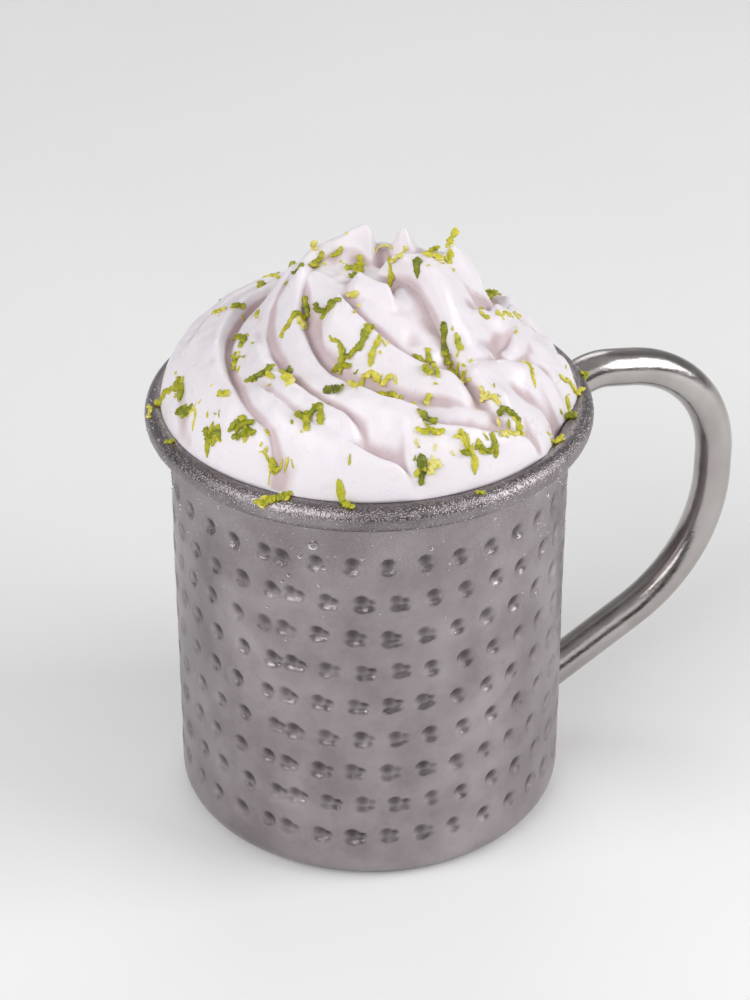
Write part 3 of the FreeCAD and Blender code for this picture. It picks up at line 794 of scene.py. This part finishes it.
# each shred: angle and radius of its middle, heading, length, bend, width,
# tone from dark rind to pale pith, lift out of the foam
zestShreds = [
    (133, 12.2, 241, 3.4, 0, 1.3, 0.7, 60),
    (142, 11.2, 216, 5, 0, 1.3, 0.35, 0),
    (118, 8.5, 186, 2.8, 0, 1.4, 0.55, 0),
    (141, 2.1, 238, 6.7, -77, 1.6, 0.5, 0),
    (196, 4, 199, 2.2, 0, 1.5, 0.2, 0),
    (144, 3.6, 318, 3.2, 0, 1.5, 0.45, 0),
    (128, 19.2, 88, 7.5, -57, 1.3, 0.3, 0),
    (156, 14.7, 282, 5.2, 0, 0.8, 0.1, 0),
    (120, 28, 243, 7.5, 0, 1.3, 0.4, 0),
    (145, 27.7, 351, 3.2, 0, 1.6, 0.3, 0),
    (146, 31.8, 327, 3.4, 0, 1, 0.6, 0),
    (157, 23.1, 226, 2.2, 0, 1, 0.45, 0),
    (171, 27.5, 259, 7.9, -101, 1.2, 0.3, 0),
    (182, 30.7, 245, 5.1, 27, 1, 0.45, 0),
    (191, 19.5, 354, 6.5, -104, 1.1, 0.5, 0),
    (189, 16.3, 38, 7, 105, 1.3, 0.35, 0),
    (208, 14.6, 290, 7.9, 49, 1.5, 0.2, 0),
    (196, 18, 303, 2.2, 0, 1.5, 0.8, 0),
    (227, 11.1, 349, 2.5, 0, 1.7, 0.9, 0),
    (200, 31, 342, 7, 43, 1.5, 0.25, 0),
    (205, 31, 261, 2.6, 0, 1.1, 0.6, 0),
    (207, 27, 345, 2.3, 0, 1.4, 0.2, 0),
    (213, 30.4, 270, 4.1, 0, 2, 0.8, 0),
    (231, 30.2, 330, 3.9, -27, 1.9, 0.12, 0),
    (195, 38.2, 313, 2.9, 0, 1.6, 0.6, 0),
    (170, 40.4, 251, 6.8, -36, 1.7, 0.3, 0),
    (163, 42.8, 111, 7.9, -17, 1.5, 0.5, 0),
    (180, 41.6, 283, 5.7, 0, 2, 0.2, 0),
    (185, 41.4, 263, 5.4, -98, 0.7, 0.7, 0),
    (226, 19.7, 280, 5.1, -12, 1, 0.5, 0),
    (241, 19.6, 190, 6.3, -16, 1.5, 0.35, 0),
    (233, 21, 142, 2.2, 0, 1.3, 0.2, 0),
    (231, 21.7, 323, 3.7, 0, 1.5, 0.3, 0),
    (248, 21.1, 216, 4.5, -43, 1.2, 0.6, 0),
    (240, 26.4, 41, 8.5, -73, 1, 0.6, 0),
    (246, 23.8, 312, 4.2, -14, 1.7, 0.75, 0),
    (253, 24.9, 333, 2.7, 0, 1.5, 0.7, 0),
    (253, 26.7, 315, 4.9, -19, 1.5, 0.5, 0),
    (259, 30.8, 275, 7.2, 34, 0.8, 0.5, 0),
    (5, 8.4, 2, 2.2, 0, 1, 0.8, 60),
    (356, 10.1, 271, 2.5, 0, 0.9, 0.7, 25),
    (318, 5.8, 304, 2.6, 0, 1.4, 0.85, 0),
    (305, 5, 248, 3.5, 0, 1.2, 0.6, 0),
    (309, 10.9, 229, 2.2, 0, 1.5, 0.2, 0),
    (323, 13.4, 332, 4.7, 55, 1.4, 0.7, 0),
    (352, 13.5, 347, 4, -78, 1.2, 0.5, 25),
    (344, 17.1, 8, 4.7, 92, 1.6, 0.65, 60),
    (332, 16.5, 244, 3.5, 0, 1.3, 0.6, 0),
    (2, 25.2, 51, 7.5, -166, 0.9, 0.5, 0),
    (322, 24.4, 23, 2.4, 0, 1.1, 0.5, 0),
    (333, 27.8, 27, 5.2, 0, 0.9, 0.65, 0),
    (345, 31.2, 247, 4.3, 0, 1.3, 0.7, 0),
    (291, 21.3, 254, 5.1, -55, 1.5, 0.2, 0),
    (295, 23.7, 267, 2.2, 0, 1.4, 0.45, 0),
    (274, 22.9, 291, 5.9, -50, 1.4, 0.3, 0),
    (275, 26.8, 272, 3.3, 0, 0.8, 0.5, 0),
    (271, 26.4, 320, 2.2, 0, 1.7, 0.45, 0),
    (279, 21.4, 275, 2.2, 0, 1.2, 0.5, 0),
    (289, 25.4, 299, 3.9, 4, 1.3, 0.35, 0),
    (289, 28, 272, 3.2, 0, 1.1, 0.7, 0),
    (263, 36.9, 311, 4.2, -91, 1.7, 0.25, 0),
    (268, 29.9, 22, 2.2, 0, 1.3, 0.75, 0),
    (289, 34.6, 295, 6.1, 19, 1.3, 0.85, 0),
    (291, 39, 340, 4.9, -57, 1.5, 0.2, 0),
    (292, 41.2, 261, 3.6, 0, 1.3, 0.55, 0),
    (287, 42, 10, 5, -22, 1.2, 0.8, 0),
    (314, 35.1, 268, 5.9, -9, 1, 0.6, 0),
    (333, 42.9, 24, 9.4, 30, 1.2, 0.7, 0),
    (325, 42.2, 271, 2.6, 0, 1, 0.6, 0),
    (347, 47, 259, 3.6, 0, 1.3, 0.35, 0),
    (263, 38.9, 344, 6.3, -8, 1.5, 0.6, 0),
    (271, 40.5, 348, 2.7, 0, 1, 0.8, 0),
    (273, 41.7, 296, 4.5, -43, 1.4, 0.55, 0),
    (272, 42.2, 195, 2.2, 0, 1.6, 0.3, 0),
    (278, 42.4, 5, 5.1, -15, 1.5, 0.3, 0),
    (281, 42.3, 258, 2.2, 0, 1.2, 0.35, 0),
    (259, 42.3, 245, 2.2, 0, 1.7, 0.1, 0),
    (259, 42.4, 349, 2.8, 0, 1.6, 0.5, 0),
    (262, 42.5, 351, 2.7, 0, 2.3, 0.95, 0),
    (263, 42.3, 173, 2.5, 0, 1.5, 0.95, 0),
    (274, 45.6, 351, 2.2, 0, 1, 0.4, 0),
    (322, 43.2, 296, 2.2, 0, 1.8, 0.2, 0),
    (308, 43.4, 18, 3.8, 0, 1.2, 0.65, 0),
    (219, 46.6, 323, 5.2, 6, 1.8, 0.45, 0),
    (223, 45, 353, 3.5, 0, 1.7, 0.35, 0),
    (239, 44.7, 289, 4.6, -43, 1.6, 0.4, 0),
    (206, 40.7, 312, 5.9, -40, 1.7, 0.25, 0),
    (208, 41.6, 306, 5.2, -33, 1.7, 0.3, 0),
    (197, 42.4, 291, 5.7, 16, 1.7, 0.3, 0),
    (198, 42.6, 288, 5.2, 5, 1.7, 0.3, 0),
    (225, 36.4, 332, 4.8, 66, 1.5, 0.3, 0),
    (229, 36.2, 268, 4.6, -77, 1.5, 0.4, 0),
    (226, 38.2, 232, 2.7, 0, 1.4, 0.5, 0),
    (219, 42.4, 302, 2.2, 0, 1.6, 0.45, 0),
    (217, 42.6, 308, 4.5, 9, 0.6, 0.55, 0),
    (181, 45.5, 123, 2.2, 0, 1.2, 0.4, 0),
    (163, 46.4, 254, 6.4, 0, 0.8, 0.7, 0),
]


def surfaceUnder(x, y):
    # height of the foam, or of the rim where that is higher
    radius = math.hypot(x, y)
    top = float(rimHeightAt(min(radius, mugHigh[0] - zestSettings["rimInset"])))
    if radius < foamHigh[0] - zestSettings["foamInset"]:
        top = max(top, float(roundedEdge(radius, foamHeight(x, y))))
    return top


def shredPath(shred, picker):
    s = zestSettings
    angle, out, heading, length, bend, width, tone, lift = shred
    count = max(s["leastSteps"], int(length / s["stepLength"]))
    step = length / count
    x, y = polar(out, angle)
    turn = math.radians(heading) - math.radians(bend) / 2
    swing, beat = picker.uniform(0, s["wholeTurn"]), picker.uniform(*s["wanderBeat"])
    points = [Vector((0, 0, 0))]
    for k in range(count):
        wander = s["wander"] * math.sin(swing + beat * k * step)
        way = turn + math.radians(bend) * k / count + wander
        points.append(points[-1] + Vector((math.cos(way), math.sin(way), 0)) * step)
    middle = sum(points, Vector()) / len(points)
    tipLift = picker.uniform(0.0, s["tipLift"])
    root = surfaceUnder(x, y) - s["rootDepth"]
    rise, lean = math.sin(math.radians(lift)), math.cos(math.radians(lift))
    placed = []
    for k, point in enumerate(points):
        share = k / count
        px, py = point.x - middle.x + x, point.y - middle.y + y
        if lift:
            # stands up out of the foam
            px, py = x + (px - x) * lean, y + (py - y) * lean
            placed.append(Vector((px, py, root + length * share * rise)))
        else:
            rest = surfaceUnder(px, py) + width * s["thick"] * s["rest"]
            placed.append(Vector((px, py, rest + tipLift * (2 * share - 1) ** 2)))
    # soften the way over steps in the foam
    for again in range(s["softPasses"]):
        inner = [(a + b * 2 + c) / 4 for a, b, c in zip(placed, placed[1:], placed[2:])]
        placed = [placed[0]] + inner + [placed[-1]]
    return placed


def addTube(path, width, tone, picker, points, faces, tones):
    # a lumpy strip with a rind side and a pale side
    s = zestSettings
    sides = s["sides"]
    start = len(points)
    phase, twist = picker.uniform(0, s["wholeTurn"]), picker.uniform(-s["twist"], s["twist"])
    count = len(path)
    for k, place in enumerate(path):
        ahead = (path[min(k + 1, count - 1)] - path[max(k - 1, 0)]).normalized()
        side = ahead.cross(Vector((0, 0, 1)))
        if side.length < 0.1:  # the strip stands upright here
            side = ahead.cross(Vector((1, 0, 0)))
        side.normalize()
        top = side.cross(ahead).normalized()
        share = k / (count - 1)
        ends = abs(2 * share - 1)
        taper = math.sqrt(max(0.0, 1 - ends ** s["taperPower"])) * (1 - s["tip"]) + s["tip"]
        bead = sum(high * math.sin(phase * times + k * beat) for times, beat, high in s["beads"])
        half = width / 2 * taper * (1 + s["bumps"] * bead)
        mottle = s["mottle"] * noise.noise(place * s["mottleScale"] + Vector((phase, 0, 0)))
        for here in range(sides):
            turn = 2 * math.pi * here / sides
            spot = Vector((math.cos(turn), math.sin(turn), phase)) * s["lumpTurn"]
            lumpy = 1 + s["bumps"] * s["lumps"] * noise.noise(place * s["lumpScale"] + spot)
            twisted = turn + twist * share
            across = math.cos(twisted) * half * lumpy
            high = math.sin(twisted) * half * lumpy * s["thick"]
            points.append(tuple(place + side * across + top * high))
            pale = s["pith"] * max(0.0, -math.sin(turn)) + mottle
            tones.append(min(1.0, max(0.0, tone + pale + s["paleEnds"] * ends)))
    faces += gridFaces(count, sides, True, start)
    faces.append(tuple(start + here for here in reversed(range(sides))))
    faces.append(tuple(start + (count - 1) * sides + here for here in range(sides)))


def moreShreds(picker):
    # the side away from the camera gets as many as the side that it sees
    s = zestSettings
    shreds = []
    for again in range(s["farCount"]):
        angle = picker.uniform(*s["farAngle"])
        out = s["farOut"] * math.sqrt(picker.uniform(*s["farSpread"]))
        length, width = picker.uniform(*s["farLength"]), picker.uniform(*s["farWidth"])
        tone = min(s["farToneEnds"][1], max(s["farToneEnds"][0], picker.gauss(*s["farTone"])))
        heading, bend = picker.uniform(0, 360), picker.uniform(-s["farBend"], s["farBend"])
        shreds.append((angle, out, heading, length, bend, width, tone, 0))
    return shreds


def spurOf(shred, path, picker):
    # a short side spur, as where the grater tore the peel
    s = zestSettings
    angle, out, heading, length, bend, width, tone, lift = shred
    root = path[picker.randrange(len(path) // 4, 3 * len(path) // 4)]
    heading += picker.choice((-1, 1)) * picker.uniform(*s["spurTurn"])
    length, bend = picker.uniform(*s["spurLength"]), picker.uniform(-s["spurBend"], s["spurBend"])
    width *= picker.uniform(*s["spurWidth"])
    tone = min(s["palest"], tone + s["spurPaler"])
    angle, out = math.degrees(math.atan2(root.y, root.x)), math.hypot(root.x, root.y)
    return angle, out, heading, length, bend, width, tone, 0


def crumbNear(shred, picker):
    # crumbs fell off close to the shreds
    s = zestSettings
    angle, out, heading, length, bend, width, tone, lift = shred
    angle += picker.gauss(0, s["crumbTurn"]) / max(out, s["crumbLeastOut"])
    out = min(s["crumbRing"][1], max(s["crumbRing"][0], out + picker.gauss(0, s["crumbOut"])))
    heading, length = picker.uniform(0, 360), picker.uniform(*s["crumbLength"])
    width = picker.uniform(*s["crumbWidth"])
    tone = min(s["palest"], tone + picker.uniform(0, s["crumbPaler"]))
    return angle, out, heading, length, 0, width, tone, 0


def curlPath():
    s = zestSettings
    x, y = polar(s["curlOut"], s["curlAngle"])
    middle = Vector((x, y, surfaceUnder(x, y) + s["curlUp"]))
    path = []
    for turn in np.radians(np.linspace(*s["curlTurns"])):
        across = Vector((*s["curlWay"], 0)) * math.cos(turn)
        path.append(middle + (across + Vector((0, 0, math.sin(turn)))) * s["curlRadius"])
    return path


def makeZest():
    s = zestSettings
    picker = random.Random(s["seed"])
    points, faces, tones = [], [], []

    def lay(shred):
        path = shredPath(shred, picker)
        addTube(path, shred[5], shred[6], picker, points, faces, tones)
        return path

    for shred in zestShreds + moreShreds(picker):
        path = lay(shred)
        torn = picker.random() < s["spurs"]
        length, lift = shred[3], shred[7]
        if torn and length > s["spurFrom"] and not lift:
            lay(spurOf(shred, path, picker))
    for again in range(s["crumbs"]):
        lay(crumbNear(picker.choice(zestShreds), picker))
    addTube(curlPath(), s["curlWidth"], s["curlTone"], picker, points, faces, tones)
    piece = meshPiece("lime_zest", points, faces)
    pointValues(piece, "tone", tones)
    return piece


def zestMaterial():
    look = zestSettings
    material, tree, shader, where = newMaterial("lime peel")
    # the spots make each tone darker or paler by the same amount
    spots = noiseOf(tree, where, *look["spots"])
    shift = mathOf(tree, "SUBTRACT", attributeOf(tree, "tone"), look["spotShare"] / 2)
    tone = mathOf(tree, "MULTIPLY_ADD", spots, look["spotShare"], shift)
    colour = rampOf(tree, tone, look["toneStops"], look["tones"])
    tree.links.new(colour, shader.inputs["Base Color"])
    shader.inputs["Roughness"].default_value = look["roughness"]
    scattered(shader, look)
    pits = bumpOf(tree, cellsOf(tree, where, look["pores"]), *look["poreBump"])
    tree.links.new(pits, shader.inputs["Normal"])
    return material


zest = makeZest()
zest.data.materials.append(zestMaterial())
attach(zest, "root")
print("lime zest made: %d faces" % len(zest.data.polygons))


# drops of water on the cold metal
dropSettings = {
    "rings": 4,
    "sides": 12,
    "lean": 0.5,  # height over width
    "sunk": 0.03,  # how deep a drop sits in the metal
    "wallSeat": 0.1,
    "small": 420,  # small drops on the wall
    "smallTop": 90.5,
    "smallReach": 26,
    "smallCrowd": 1.6,  # more draws them up towards the rim
    "smallWidth": (0.22, 0.55),
    "bigFrom": 1.0,  # drops as wide as this can lie over a dimple
    "rimSmall": 700,  # and on the rim
    "rimOver": (-40, 120),
    "rimWidth": (0.18, 0.42),
    "foamClear": 0.3,
    "seed": 5,
    "colour": (0.97, 0.98, 0.99, 1),
    "roughness": 0.03,
    "ior": 1.33,
    "quiver": (900, 1, 0.5),
    "quiverBump": (0.00004, 0.2),
}
# angle, height and width of the drops that stand out on the wall
wallDrops = [
    (229.6, 85.3, 2.2), (225.8, 82.2, 1.3), (222.4, 77.0, 0.9), (220.3, 75.1, 0.8),
    (232.6, 80.2, 1.0), (221.1, 60.8, 0.7), (231, 75.8, 0.8), (204, 82.5, 0.8),
    (243, 83.0, 0.9), (262, 84.2, 1.0), (291, 80.1, 1.1), (305, 84.9, 0.9),
    (20, 84.5, 1.8), (48, 80.2, 1.2), (77, 85.3, 1.5), (110, 78.8, 1.0),
    (141, 83.6, 1.6), (168, 80.0, 0.9),
]


def addDrop(place, outward, width, points, faces):
    s = dropSettings
    rings, sides = s["rings"], s["sides"]
    side = outward.cross(Vector((0, 0, 1)))
    if side.length < 0.1:  # the drop sits on top of the rim
        side = Vector((1, 0, 0))
    side.normalize()
    up = side.cross(outward).normalized()
    start = len(points)
    for ring in range(rings):
        rise = (math.pi / 2) * ring / rings
        flat, high = math.cos(rise) * width / 2, math.sin(rise) * width * s["lean"] - s["sunk"]
        for here in range(sides):
            turn = 2 * math.pi * here / sides
            across = side * math.cos(turn) * flat + up * math.sin(turn) * flat
            points.append(tuple(place + across + outward * high))
    points.append(tuple(place + outward * (width * s["lean"] - s["sunk"])))
    faces += gridFaces(rings, sides, True, start)
    last, tip = start + (rings - 1) * sides, start + rings * sides
    for here in range(sides):
        faces.append((last + here, last + (here + 1) % sides, tip))
    faces.append(tuple(start + here for here in reversed(range(sides))))


def makeDrops():
    s = dropSettings
    picker = random.Random(s["seed"])
    points, faces = [], []
    spots = list(wallDrops)
    for again in range(s["small"]):
        up = s["smallTop"] - s["smallReach"] * picker.random() ** s["smallCrowd"]
        spots.append((picker.uniform(0, 360), up, picker.uniform(*s["smallWidth"])))
    strikes = dimplePlaces()
    for angle, up, width in spots:
        near = min(math.hypot(math.radians(angleGap(angle, turn)) * wallOut, up - height) / wide
                   for turn, height, wide, deep in strikes)
        if near < 1.0 and width < s["bigFrom"]:
            continue
        outward = Vector((*polar(1, angle), 0))
        place = outward * (wallOut - s["wallSeat"]) + Vector((0, 0, up))
        addDrop(place, outward, width, points, faces)
    for again in range(s["rimSmall"]):
        turn = picker.uniform(0, 2 * math.pi)
        over = math.radians(picker.uniform(*s["rimOver"]))
        around = Vector((math.cos(turn), math.sin(turn), 0))
        outward = around * math.cos(over) + Vector((0, 0, math.sin(over)))
        place = around * rimOut + Vector((0, 0, rimUp)) + outward * rimRound
        if math.hypot(place.x, place.y) > foamHigh[0] + s["foamClear"]:
            addDrop(place, outward, picker.uniform(*s["rimWidth"]), points, faces)
    return meshPiece("dew_drops", points, faces)


def waterMaterial():
    look = dropSettings
    material, tree, shader, where = newMaterial("water")
    shader.inputs["Base Color"].default_value = look["colour"]
    shader.inputs["Roughness"].default_value = look["roughness"]
    shader.inputs["IOR"].default_value = look["ior"]
    shader.inputs["Transmission Weight"].default_value = 1.0
    quiver = bumpOf(tree, noiseOf(tree, where, *look["quiver"]), *look["quiverBump"])
    tree.links.new(quiver, shader.inputs["Normal"])
    return material


drops = makeDrops()
drops.data.materials.append(waterMaterial())
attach(drops, "root")
print("dew drops made: %d faces" % len(drops.data.polygons))


# floor, light and camera; floor and lamps are in metres
studioSettings = {
    "floor": (0.93, 0.93, 0.93),
    "floorMottle": 0.97,
    "floorCloud": (6, 2, 0.5),
    "floorStops": (0.3, 0.7),
    "floorRoughness": 0.7,
    "floorFront": 3.0,
    "floorWide": 10.0,
    "bendFrom": 1.2,  # the floor turns up into a backdrop from here
    "bendRadius": 0.8,
    "bendRows": 13,
    "backdropHigh": 4.0,
    "lamps": (  # name, place, height aimed at, width, height, strength
        ("key light", (-0.80, -0.25, 0.60), 0.09, 1.0, 0.6, 6.2),
        ("side light", (0.66, -0.46, 0.46), 0.08, 0.6, 0.5, 4.6),
        ("front light", (0.05, -1.0, 0.72), 0.08, 1.0, 0.5, 1.1),
        ("back light", (0.35, 0.75, 0.75), 0.1, 0.6, 0.5, 1.6),
    ),
    "world": 0.42,
    # darker round the horizon and bright overhead, as in a room with a light ceiling
    "skyStops": (0.0, 0.25, 0.7),
    "skyTones": (0.16, 0.3, 1.0),
    "cameraPlace": (-209.85, -450.03, 377.94),
    "cameraAim": (6.11, 10.15, 63.29),
    "lens": 97.31,
    "sensor": 36,
}


def makeFloor():
    # the backdrop is behind the mug, seen from the camera's side
    s = studioSettings
    look = Vector(s["cameraAim"]) - Vector(s["cameraPlace"])
    look.z = 0
    look.normalize()
    side = Vector((-look.y, look.x, 0)) * s["floorWide"] / 2
    section = [(-s["floorFront"], 0.0), (s["bendFrom"], 0.0)]
    bend = np.radians(np.linspace(-90, 0, s["bendRows"])[1:])
    section += arc(s["bendFrom"], s["bendRadius"], s["bendRadius"], bend)
    section.append((s["bendFrom"] + s["bendRadius"], s["backdropHigh"]))
    points = []
    for along, up in section:
        for edge in (-side, side):
            spot = look * along + edge
            points.append((spot.x / mm, spot.y / mm, up / mm))
    floor = meshPiece("floor", points, gridFaces(len(section), 2, False))
    material, tree, shader, where = newMaterial("floor paper")
    cloud = noiseOf(tree, where, *s["floorCloud"])
    low = tuple(part * s["floorMottle"] for part in s["floor"])
    tone = rampOf(tree, cloud, s["floorStops"], (low, s["floor"]))
    tree.links.new(tone, shader.inputs["Base Color"])
    shader.inputs["Roughness"].default_value = s["floorRoughness"]
    floor.data.materials.append(material)


def aimed(thing, place, aim):
    thing.location = place
    thing.rotation_euler = (Vector(aim) - Vector(place)).to_track_quat("-Z", "Y").to_euler()
    scene.collection.objects.link(thing)
    return thing


def makeLight():
    s = studioSettings
    for name, place, aimHeight, wide, high, strength in s["lamps"]:
        light = bpy.data.lights.new(name, "AREA")
        light.shape = "RECTANGLE"
        light.size = wide
        light.size_y = high
        light.energy = strength
        aimed(bpy.data.objects.new(name, light), place, (0, 0, aimHeight))
    world = bpy.data.worlds.new("studio")
    world.use_nodes = True
    tree = world.node_tree
    background = tree.nodes["Background"]
    background.inputs["Strength"].default_value = s["world"]
    way = tree.nodes.new("ShaderNodeSeparateXYZ")
    tree.links.new(tree.nodes.new("ShaderNodeTexCoord").outputs["Generated"], way.inputs["Vector"])
    sky = rampOf(tree, way.outputs["Z"], s["skyStops"], s["skyTones"])
    tree.links.new(sky, background.inputs["Color"])
    scene.world = world


def makeCamera():
    s = studioSettings
    camera = bpy.data.cameras.new("camera")
    camera.lens = s["lens"]
    camera.sensor_width = s["sensor"]
    camera.clip_start = 0.01
    place, aim = Vector(s["cameraPlace"]) * mm, Vector(s["cameraAim"]) * mm
    scene.camera = aimed(bpy.data.objects.new("camera", camera), place, aim)


makeFloor()
makeLight()
makeCamera()
scene.view_settings.view_transform = "Standard"
print("studio ready")

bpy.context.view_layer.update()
